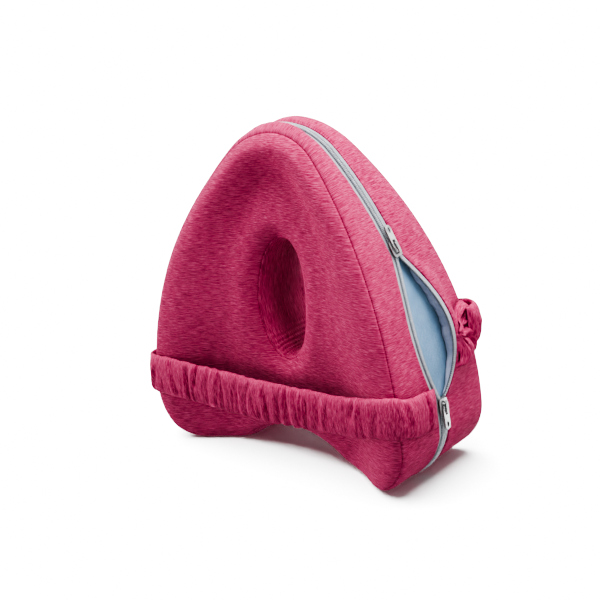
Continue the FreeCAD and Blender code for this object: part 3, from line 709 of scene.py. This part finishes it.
def joint_move(name):
    """How far a follower's body stands at rest from where it closes, in millimetres."""
    joint = JOINTS[name]
    return -np.array(joint["axis"]) * joint["range_m"][1] / MM


BACK_MOVE, FRONT_MOVE = joint_move("zip_close"), joint_move("zip_front_close")


def zip_line(s):
    """Y of the closed zip."""
    return ZIP_LINE + ZIP_DRIFT * smooth((s - STARTS[2]) / (ZIP_END - STARTS[2]))


def gape(s):
    """How far open the zip is between its sliders, from 0 to 1; widest below the middle."""
    t = np.clip((s - UPPER_S - HOLD) / (LOWER_S - UPPER_S - 2 * HOLD), 0, 1)
    return np.sin(math.pi * t ** GAPE_LOW).clip(0, 1) ** GAPE_FULL


def on_band(s, y, rise):
    """Points over the edge band, from length along the outline, Y and height above it."""
    x, z, nx, nz = outline(s)
    return stack(x + nx * rise, y, z + nz * rise)


# ---- edge band

HEM, HEM_TOP, HEM_SLOPE, HEM_ROUND, TAPE_SHOWS = 1.0, 1.2, 4.0, 0.8, 5.6
STITCH_DEEP, STITCH_PLACE, STITCH_WIDE, PUCKER = 0.3, 2.6, 0.4, 0.22
HEM_TURNS, HEM_DROPS = np.radians([25, 50, 75, 90, 90])[None, :], np.array([0, 0, 0, 0, 0.7])[None, :]
# how far the band swells over the foam; it swells more beside the zip, but not at its ends
BASE_CROWN, ZIP_CROWN, CROWN_FADE = 1.6, {-1: 0.5, 1: 1.9}, 40
BAND_ROWS, BAND_CROWD, PUFF_FOOT, PUFF_FROM, PUFF_OVER, PUFF_ROUND = 34, 1.35, 0.35, 90, 110, 0.6


def band_half(s, side, end_y, crown, seed):
    """A strip from one face's seam to end_y, with each column's share of the way across."""
    x, z, nx, nz = outline(s)
    radius = corner_radius(s, side)
    share = np.linspace(0, 1, BAND_ROWS)[None, :] ** BAND_CROWD
    depth = face_depth(x, z)
    total = radius * CORNER_SEAM[side] + np.abs(side * (depth - radius) - end_y)
    run = share * total
    inward, deep = corner(-run, radius, CORNER_SEAM[side])
    up = 1 - smooth(-nz)
    puff = crown * (PUFF_FOOT + (1 - PUFF_FOOT) * smooth((z - PUFF_FROM) / PUFF_OVER))
    rise = puff * np.sin(math.pi * np.clip(run / total, 0, 1)) ** PUFF_ROUND * up
    sway = 0.3 * lattice(s, run, 24, seed) + 0.1 * lattice(s, run, 6, seed + 1)
    rise = rise + sway * smooth(run / 6) * up
    px, pz = x - nx * inward, z - nz * inward
    py = side * (face_depth(px, pz) - deep)
    py = np.where(run >= total - 1e-6, end_y, py)
    return px + nx * rise, py, pz + nz * rise, np.broadcast_to(share, px.shape), nx, nz


def band_cloth(points, s):
    """The band's cloth coordinates: across it and along the outline."""
    return stack(points[..., 1], s)


def gusset_side(name, side, body, move, nodes, spread):
    """The strip of the edge band beside the zip, whose hem moves with the open zip's edge.
    It bends from this share of the way across."""
    s = np.linspace(ZIP_START, ZIP_END, 240)[:, None]
    towards = -side
    hem_y = zip_line(s) + side * TAPE_SHOWS
    ends = smooth((s - ZIP_START) / CROWN_FADE) * smooth((ZIP_END - s) / CROWN_FADE)
    crown = BASE_CROWN + ZIP_CROWN[side] * ends
    px, py, pz, share, nx, nz = band_half(s, side, hem_y - towards * HEM_ROUND, crown, 5 + side)
    run = np.abs(py - hem_y)
    pucker = PUCKER * lattice(s, run * 0, 5.0, 8 + side) * np.exp(-run / 4)
    stitches = STITCH_DEEP * np.exp(-((run - STITCH_PLACE) / STITCH_WIDE) ** 2)
    rise = HEM * (1 - smooth((run - HEM_TOP) / HEM_SLOPE)) + pucker - stitches
    px, pz = px + nx * rise, pz + nz * rise
    edge_y = hem_y - towards * HEM_ROUND * (1 - np.sin(HEM_TURNS))
    edge_rise = rise[:, -1:] - HEM_ROUND * (1 - np.cos(HEM_TURNS)) - HEM_DROPS
    hem = on_band(s, edge_y, edge_rise)
    points = np.concatenate([stack(px, py, pz), hem], 1)
    share = np.concatenate([share, np.ones((len(s), HEM_TURNS.size))], 1)
    weight = gape(s) * smooth((share - spread) / (1 - spread))
    points = points + weight[..., None] * move
    points[..., 2] = np.maximum(points[..., 2], 0)
    obj = grid_object(name, points, band_cloth(points, s), KNIT, weight, flip=side > 0)
    thicken(obj, BAND_FABRIC)
    return bend(obj, body, "knit", *nodes)


def gusset_base():
    """The edge band where there is no zip: the lobes, the notch and the left side."""
    s = np.linspace(ZIP_END, ROUND + ZIP_START, 330)[:, None]
    front, back = (stack(*band_half(s, side, 0 * s, BASE_CROWN, 11)[:3]) for side in (-1, 1))
    points = np.concatenate([front, back[:, -2::-1]], 1)
    points[..., 2] = np.maximum(points[..., 2], 0)
    obj = grid_object("gusset_base", points, band_cloth(points, s), KNIT)
    thicken(obj, FABRIC)
    return follow(obj, "root", "knit", "gusset_base")


# ---- foam

FOAM_GAP, HOLLOWS = 2.2, 0.35


def foam_core():
    """The moulded foam inside the cover: both faces, the edge and the hole in one closed skin."""
    s = np.linspace(0, ROUND, 480, endpoint=False)[:, None]
    x, z, nx, nz = outline(s)
    hx, hz, hnx, hnz = oval(np.arctan2(z - HOLE_Z, x))
    ring = np.linspace(0, RIGHT_ANGLE, 6)[None, :]
    t = np.linspace(0, 1, 22)[None, 1:] ** 1.4
    run = np.linspace(RIGHT_ANGLE, 0, 5)[None, 1:]
    parts = []
    for side in (-1, 1):
        radius, rim = corner_radius(s, side), RIM[side]
        rim_in, edge_in = FOAM_GAP + rim * (1 - np.cos(ring)), FOAM_GAP + radius
        rim_x, rim_z = hx + hnx * rim_in, hz + hnz * rim_in
        ex, ez = x - nx * edge_in, z - nz * edge_in
        fx, fz = rim_x[:, -1:] * (1 - t) + ex * t, rim_z[:, -1:] * (1 - t) + ez * t
        face = stack(fx, side * (face_depth(fx, fz) - FOAM_GAP), fz)
        rim_y = side * (face_depth(rim_x, rim_z) - FOAM_GAP - rim * (1 - np.sin(ring)))
        bend_in = FOAM_GAP + radius * (1 - np.cos(run))
        bx, bz = x - nx * bend_in, z - nz * bend_in
        bend_y = side * (face_depth(bx, bz) - FOAM_GAP - radius * (1 - np.sin(run)))
        rows = [stack(rim_x, rim_y, rim_z), face, stack(bx, bend_y, bz)]
        parts.append(np.concatenate(rows, 1))
    front, back = parts
    across = np.linspace(0, 1, 32)[None, 1:-1, None]
    edge = front[:, -1:] * (1 - across) + back[:, -1:] * across
    hollow = lattice(s, edge[..., 1], 26, 21) * HOLLOWS
    edge = edge + stack(nx * hollow, hollow * 0, nz * hollow)
    wall = back[:, :1] * (1 - across[:, ::2]) + front[:, :1] * across[:, ::2]
    points = np.concatenate([front, edge, back[:, ::-1], wall], 1)
    obj = grid_object("foam_core", points, stack(s, points[..., 1]), FOAM, around=True, across=True)
    return follow(obj, "root", "foam", "foam_core")


# ---- zip

# a tape's section, from the middle of the zip: distance across, and height above the outline
TAPE_SECTION = [(0.9, 0.0), (1.6, 0.1), (2.6, 0.1), (3.0, -0.1), (3.4, 0.08), (5.0, 0.05), (7.0, 0.0),
                (8.4, -0.05), (8.4, -0.5), (5.0, -0.5), (2.6, -0.5), (0.9, -0.45)]


def zip_nodes(kind, word):
    """The CAD nodes of one row's tape or coil."""
    return ["zip_%s_%s_%s" % (kind, word, place) for place in ("lip", "upper", "lower")]


def tape(name, side, body, move, nodes):
    """One woven tape, under the cover's hem, thicker where the coil is sewn on."""
    s = np.linspace(ZIP_START + 1, ZIP_END - 1, 330)[:, None]
    across, rise = np.array(TAPE_SECTION).T[:, None, :]
    weight = gape(s) * (1 - 0.1 * smooth((across - 5) / 4))
    y = zip_line(s) + side * across
    rise = rise + 0.05 * lattice(s, across, 3, 31)
    points = on_band(s, y, rise) + weight[..., None] * move
    rows, columns = points.shape[:2]
    faces = grid_faces(rows, columns, across=True, flip=side < 0)
    ends = [list(range(columns)), [(rows - 1) * columns + i for i in reversed(range(columns))]]
    faces += [end[::-1] for end in ends] if side < 0 else ends
    obj = make_mesh(name, points, faces, stack(y - zip_line(s), s, 0 * s), weight, TAPE)
    return bend(obj, body, "tape", *nodes)


COIL_PITCH, COIL_HALF, COIL_TALL, COIL_INSET = 1.3, 0.44, 0.85, 3.4
# one turn of the coil, from its hooked head: distance across, share of its full girth, and lift
COIL_TURN = [(-0.45, 0.3, 0.7), (-0.25, 0.75, 0.75), (0.1, 1.0, 0.85), (0.8, 0.92, 0.9), (1.6, 0.95, 0.8),
             (2.25, 0.8, 0.5), (2.5, 0.35, 0.2)]


def coil(name, side, body, move, nodes):
    """One row of nylon turns, each a rounded loop that hooks past the middle of the zip."""
    first, last = ZIP_START + COIL_INSET, ZIP_END - COIL_INSET
    count = int((last - first) / COIL_PITCH)
    centres = first + COIL_PITCH * (np.arange(count) + (0.5 if side > 0 else 0.0))
    ring = np.linspace(0, 2 * math.pi, 8, endpoint=False)
    out, girth, lift = np.array(COIL_TURN).T[:, None, :, None]
    s = centres[:, None, None] + COIL_PITCH * COIL_HALF * girth * np.cos(ring)
    rise = lift + COIL_TALL * girth * np.sin(ring)
    y = zip_line(centres)[:, None, None] + side * out
    weight = gape(centres)[:, None, None]
    points = on_band(s, y, rise) + weight[..., None] * move
    rows, columns = len(COIL_TURN), len(ring)
    turn = grid_faces(rows, columns, across=True, flip=side < 0)
    turn += [list(range(columns)), [(rows - 1) * columns + i for i in range(columns)]]
    faces = [[index * rows * columns + i for i in face] for index in range(count) for face in turn]
    obj = make_mesh(name, points, faces, stack(y - zip_line(s), s, rise), weight, COIL)
    return bend(obj, body, "coil", *nodes)


FACING_THICK, FACING_FOLLOWS = 0.35, 0.85


def lip_facing():
    """The thin facing that hangs inside the open zip's back edge, with a wavy free edge."""
    s = np.linspace(UPPER_S + 8, LOWER_S - 7, 130)[:, None]
    down = np.linspace(0, 1, 12)[None, :]
    rise_at = np.linalg.norm(BACK_MOVE[[0, 2]]) * gape(s)
    wave = 0.9 * lattice(s, 0 * s, 8.5, 41) + 0.5 * lattice(s, 0 * s, 3.6, 42)
    top_y, top_rise = 1.9 + 0 * s, rise_at - 0.7
    low_y, low_rise = 3.2 + wave, -1.3 + 0.4 * wave + 0 * s
    y = zip_line(s) + BACK_MOVE[1] * gape(s) + top_y * (1 - down) + low_y * down
    y = y + 0.5 * wave * down - 0.9 * np.sin(math.pi * down) * gape(s)
    rise = top_rise * (1 - down) + low_rise * down
    points = on_band(s, y, rise)
    weight = gape(s) * (1 - FACING_FOLLOWS * down)
    obj = grid_object("lip_facing", points, stack(down * 8, s), FACING, weight, flip=True)
    thicken(obj, FACING_THICK)
    return bend(obj, "zip_lip", "facing", "lip_facing")


# radii of rounded edges, and the sharpest angle left as it is
BODY_ROUND, TAB_ROUND, STOP_ROUND, SHARP = 0.3, 0.22, 0.2, math.radians(35)


def rounded_copy(node, body, width):
    """A metal CAD piece with its edges rounded."""
    source = frame["nodes"][node]
    obj = bpy.data.objects.new(node + "_rounded", source.data.copy())
    SCENE.collection.objects.link(obj)
    weld = obj.modifiers.new("weld", "WELD")
    weld.merge_threshold = 0.02 * MM
    bevel = obj.modifiers.new("bevel", "BEVEL")
    bevel.width, bevel.segments, bevel.limit_method = width * MM, 3, "ANGLE"
    bevel.angle_limit, bevel.harden_normals = SHARP, False
    settle(obj)
    obj.data.materials.clear()
    obj.data.materials.append(METAL)
    obj.data.polygons.foreach_set("use_smooth", [True] * len(obj.data.polygons))
    return follow(obj, body, "slider_metal", node)


def sliders():
    """Both sliders with their bails and pull tabs, and the two stops of the zip."""
    for word in ("upper", "lower"):
        rounded_copy(word + "_slider_body", word + "_slider", BODY_ROUND)
        rounded_copy(word + "_slider_bail", word + "_slider", BODY_ROUND)
        rounded_copy(word + "_pull_tab", word + "_pull", TAB_ROUND)
    for node in ("zip_stop_left", "zip_stop_lower"):
        rounded_copy(node, "root", STOP_ROUND)


# ---- strap

CAD_THICK, STRAP_THICK, SLEEVE_BACK = 4.0, 5.2, 0.9
STRAP_X = -cad_mm("strap_left_sleeve")[0][0] - CAD_THICK
STRAP_Y = -cad_mm("strap_front_sleeve")[0][1] - CAD_THICK
STRAP_BEND, STRAP_END, STRAP_STEP = 9.0, 13.0, 0.8
SPAN_HALF, SPAN_FADE = cad_mm("strap_front_sleeve")[1][0], 60.0
BEND_LENGTH, BACK_START, BACK_SHORT, LOOP_START = STRAP_BEND * RIGHT_ANGLE, 6, 14, 18.5
ELASTIC_IN, ELASTIC_THICK, ELASTIC_HALF, ELASTIC_OFF = 1.0, 0.7, 11.5, 2.3
# spacing, depth and width of the wide creases and of the narrow ones
CREASES, CORNER_CREASES = [(14.0, 1.7, 1.8), (5.0, 0.8, 0.9)], [(9.0, 1.6, 1.7), (4.0, 0.8, 0.9)]


def trail(start, heading, pieces, step):
    """Points and left-hand normals along a plan path of (length, turn) pieces, evenly spaced."""
    turns = []
    for length, turn in pieces:
        count = max(1, round(length / step))
        turns += [(length / count, turn / count)] * count
    x, y = start
    places, normals = [(x, y)], [(-math.sin(heading), math.cos(heading))]
    for length, turn in turns:
        middle = heading + turn / 2
        x, y = x + length * math.cos(middle), y + length * math.sin(middle)
        heading += turn
        places.append((x, y))
        normals.append((-math.sin(heading), math.cos(heading)))
    lengths = np.concatenate([[0], np.cumsum([length for length, _ in turns])])
    return lengths, np.array(places), np.array(normals)


def gathers(along, across, seed, kinds):
    """Height of the gathered fabric above its mean: narrow creases between soft ridges.
    Each kind of crease is its spacing, depth and width; creases lean, bow and end part way across."""
    random = np.random.RandomState(seed)
    height = 0.35 * lattice(along, across * 9, 11, seed)
    wander = 0.9 * lattice(along, across * 9, 8, seed + 1)
    for spacing, deep, wide in kinds:
        centre = along.min() + spacing * random.uniform(0, 1)
        while centre < along.max():
            lean, bow = random.normal(0, 1.6), random.normal(0, 1.0)
            middle, reach = random.uniform(-0.9, 0.9), random.uniform(0.45, 1.9)
            width, depth = wide * random.uniform(0.7, 1.5), deep * random.uniform(0.5, 1.25)
            side = random.choice([-1, 1])
            line = centre + lean * across + bow * across ** 2 + wander
            x = (along - line) / width
            fade = smooth((reach - np.abs(across - middle)) / 0.45)
            height += depth * fade * (0.5 * np.exp(-((x - 1.9 * side) / 1.1) ** 2) - np.exp(-x ** 2))
            centre += spacing * random.uniform(0.45, 1.6)
    return height


def beside(path, off, z):
    """Points this far out from the strap's path, at these heights."""
    _, places, normals = path
    x, y = (places[:, i:i + 1] + normals[:, i:i + 1] * off for i in (0, 1))
    return stack(x, y, z)


def span_weight(points, side):
    """0 at the corners and 1 along the middle of the front or back span, which moves with its body."""
    return smooth((SPAN_HALF - np.abs(points[..., 0])) / SPAN_FADE) * (points[..., 1] * side > 0)


def sleeve(name, path, heights, kinds, seed, side=0, fat=None):
    """A gathered tube round the strap's path; heights gives its middle and half width by length.
    Side is -1 on the front span and 1 on the back one, which move."""
    lengths = path[0]
    outer = np.linspace(-1, 1, 30)
    inner = np.linspace(1, -1, 14)[1:-1]
    across = np.concatenate([outer, inner])[None, :]
    outside = np.arange(across.size)[None, :] < outer.size
    along = lengths[:, None] + 0 * across
    middle, half = (np.interp(lengths, *zip(*pairs))[:, None] for pairs in heights)
    folds = gathers(along, across, seed, kinds)
    crown = (1 - np.abs(across) ** 2.6) ** 0.5
    swell = 1.0 if fat is None else fat(lengths)[:, None]
    bulk = smooth((lengths[:, None] - lengths[0]) / 5) * smooth((lengths[-1] - lengths[:, None]) / 5)
    bulk = swell * (0.25 + 0.75 * bulk)
    off = SLEEVE_BACK + (STRAP_THICK - SLEEVE_BACK) * crown * bulk + folds * (0.35 + 0.65 * crown) * bulk
    off = np.where(outside, np.maximum(off, ELASTIC_OFF * crown), SLEEVE_BACK - 0.6 * crown)
    scallop = 1 + (0.035 * lattice(along, 0 * across, 4.2, seed + 3) + 0.02 * folds)
    points = beside(path, off, middle + across * half * scallop)
    cloth = stack(points[..., 2], along)
    weight = span_weight(points, side) if side else None
    return grid_object(name, points, cloth, STRAP_KNIT, weight, across=True, flip=True)


def elastic_band(name, path, middles, side, body, *nodes):
    """The woven elastic inside a sleeve: a flat closed band along the same path."""
    lengths = path[0]
    across = np.concatenate([np.linspace(-1, 1, 10), np.linspace(1, -1, 10)])[None, :]
    off = np.repeat([ELASTIC_IN + ELASTIC_THICK, ELASTIC_IN], 10)[None, :]
    middle = np.interp(lengths, *zip(*middles))[:, None]
    points = beside(path, off, middle + across * ELASTIC_HALF)
    cloth = stack(points[..., 2], lengths[:, None])
    obj = grid_object(name, points, cloth, ELASTIC, span_weight(points, side), across=True, flip=True)
    return bend(obj, body, "elastic", *nodes)


def span(name, path, heights, seed, side, words, fat=None):
    """A moving span of the strap: its sleeve and its elastic, in place of these CAD pieces."""
    obj = sleeve(name, path, heights, CREASES, seed, side, fat)
    bend(obj, name, "strap", *["strap_%s_sleeve" % word for word in words])
    nodes = ["strap_%s_elastic" % word for word in words]
    elastic_band(name + "_band", path, heights[0], side, name, *nodes)


def front_strap():
    """Right side, front span and left side of the strap, from the zip to the back left corner."""
    side, front = STRAP_Y - STRAP_BEND, 2 * (STRAP_X - STRAP_BEND)
    bend_piece, right = (BEND_LENGTH, -RIGHT_ANGLE), side - STRAP_END
    left = right + BEND_LENGTH * 2 + front
    pieces = [(right, 0), bend_piece, (front, 0), bend_piece, (2 * side, 0), bend_piece, (8, 0)]
    path = trail((STRAP_X, -STRAP_END), -RIGHT_ANGLE, pieces, STRAP_STEP)
    middles = [(0, 60), (right - 8, 62.5), (right + 10, 66.5), (right + 45, 60), (right + 125, 55.5),
               (left - 10, 56), (left + 6, 54.5), (left + 60, 54), (left + 120, 54)]
    halves = [(0, 15), (right + 60, 15), (right + 130, 16.3), (left, 16.5), (left + 120, 16)]
    thin = (lambda lengths: 1 - 0.45 * smooth((lengths - left + 24) / 28))
    span("strap_front", path, (middles, halves), 61, -1, ("front", "left", "right"), thin)


def back_strap():
    """The back span, which climbs from the back left corner to the gathered end."""
    long = 2 * (STRAP_X - STRAP_BEND) - BACK_SHORT
    path = trail((STRAP_BEND - STRAP_X + BACK_START, STRAP_Y), 0.0, [(long, 0)], STRAP_STEP)
    middles, halves = [(0, 54), (30, 57), (long - 30, 92), (long, 98)], [(0, 16), (long, 16)]
    span("strap_back", path, (middles, halves), 67, 1, ("back",))


# the scrunched end: where its folds meet, its first and last turn, its reach there, and its height;
# a fold takes FAN_FOLD radians, and the folds bend round by FAN_SWEEP
FAN_Y, FAN_Z, FAN_LOW, FAN_HIGH = 20.5, 104.5, math.radians(-100), math.radians(22)
FAN_SHORT, FAN_LONG, FAN_TALL, FAN_FOLD, FAN_SWEEP, FAN_ROOT = 25.0, 34.0, 8.0, 0.42, 0.55, 1.5
FAN_ROWS = 40


def under(cover, y, z):
    """X of a cover piece's surface at these places, seen from the right; past its edge, rounded off."""
    vertices, faces = cover.data.vertices, cover.data.polygons
    rays = BVHTree.FromPolygons([vertex.co for vertex in vertices], [face.vertices for face in faces])
    x = np.empty(y.shape)
    for place in np.ndindex(y.shape):
        start = Vector((1.0, y[place] * MM, z[place] * MM))
        spot = rays.ray_cast(start, Vector((-1.0, 0.0, 0.0)))[0]
        x[place] = np.nan if spot is None else spot.x / MM
    past = half_width(z) - 0.5 * np.maximum(y - half_depth(z) + 6, 0) ** 1.5
    return np.where(np.isnan(x), past, np.maximum(x, past))


def gathered_end(cover):
    """The scrunched end of the strap: folds that fan out from the open zip to the back corner."""
    turn = np.linspace(FAN_LOW, FAN_HIGH, 220)[:, None]
    share = np.concatenate([np.linspace(0, 1, FAN_ROWS), np.linspace(1, 0, 14)[1:-1]])[None, :]
    top = np.arange(share.size)[None, :] < FAN_ROWS
    arc = (turn - FAN_LOW) * 24
    wave = lattice(arc, 0 * arc, 6.0, 81)
    reach = FAN_SHORT + (FAN_LONG - FAN_SHORT) * smooth((turn - FAN_LOW) / 1.7) + 0.8 * wave
    radius = FAN_ROOT + (reach - FAN_ROOT) * share
    sweep = turn + FAN_SWEEP * np.sin(math.pi * share) * np.cos(turn * 0.8) - 0.1
    y, z = FAN_Y + radius * np.cos(sweep), FAN_Z + radius * np.sin(sweep)
    wander = 0.9 * lattice(radius, arc + 0 * share, 9.0, 90)
    ridges = np.abs(np.sin(math.pi * (turn - FAN_LOW) / FAN_FOLD + wander)) ** 0.7
    ends = smooth((turn - FAN_LOW) / 0.3) * smooth((FAN_HIGH - turn) / 0.3)
    swell = (0.3 + 0.7 * smooth(share / 0.7)) * (1 - np.clip(share, 0, 1) ** 9) ** 0.5
    puff = swell * smooth(share / 0.08 + 0.3) * (0.3 + 0.7 * ends)
    height = np.where(top, 0.8 + puff * FAN_TALL * (0.3 + 0.7 * ridges), 0.3)
    points = stack(under(cover, y, z) + height, y, z)
    weight = gape(STARTS[1] + SIDE_RADIUS * (TOP_TURN - np.arcsin((z - SIDE[1]) / SIDE_RADIUS)))
    weight = weight * smooth((FAN_Y + 22 - y) / 20)
    obj = grid_object("strap_gather", points, stack(radius, arc), STRAP_KNIT, weight, across=True)
    bend(obj, "zip_lip", "strap", "strap_gather")


def corner_loop():
    """The strap round the back right corner, between the back span and its gathered end."""
    pieces = [(15, 0), (BEND_LENGTH, -RIGHT_ANGLE), (6, 0)]
    path = trail((STRAP_X - STRAP_BEND - LOOP_START, STRAP_Y - 1), 0.0, pieces, 0.6)
    long = sum(length for length, _ in pieces)
    middles, halves = [(0, 98), (long, 104.5)], [(0, 17), (18, 17), (long, 13)]
    fat = (lambda lengths: 1 + 0.4 * np.sin(math.pi * np.clip(lengths / long, 0, 1)) ** 0.7)
    obj = sleeve("strap_back_corner", path, (middles, halves), CORNER_CREASES, 71, fat=fat)
    follow(obj, "root", "strap")


camera()
studio()
panel("front_panel", -1)
panel("back_panel", 1)
hole_lining()
gusset_side("gusset_front", -1, "zip_front_lip", FRONT_MOVE, ("gusset_front",), 0.2)
back_band = gusset_side("gusset_back", 1, "zip_lip", BACK_MOVE, ("gusset_back", "gusset_flap"), 0.3)
gusset_base()
foam_core()
ROWS = {"front": (-1, "zip_front_lip", FRONT_MOVE), "back": (1, "zip_lip", BACK_MOVE)}
for word, (side, body, move) in ROWS.items():
    tape("zip_tape_" + word, side, body, move, zip_nodes("tape", word))
    coil("zip_coil_" + word, side, body, move, zip_nodes("coil", word))
lip_facing()
sliders()
front_strap()
back_strap()
gathered_end(back_band)
corner_loop()
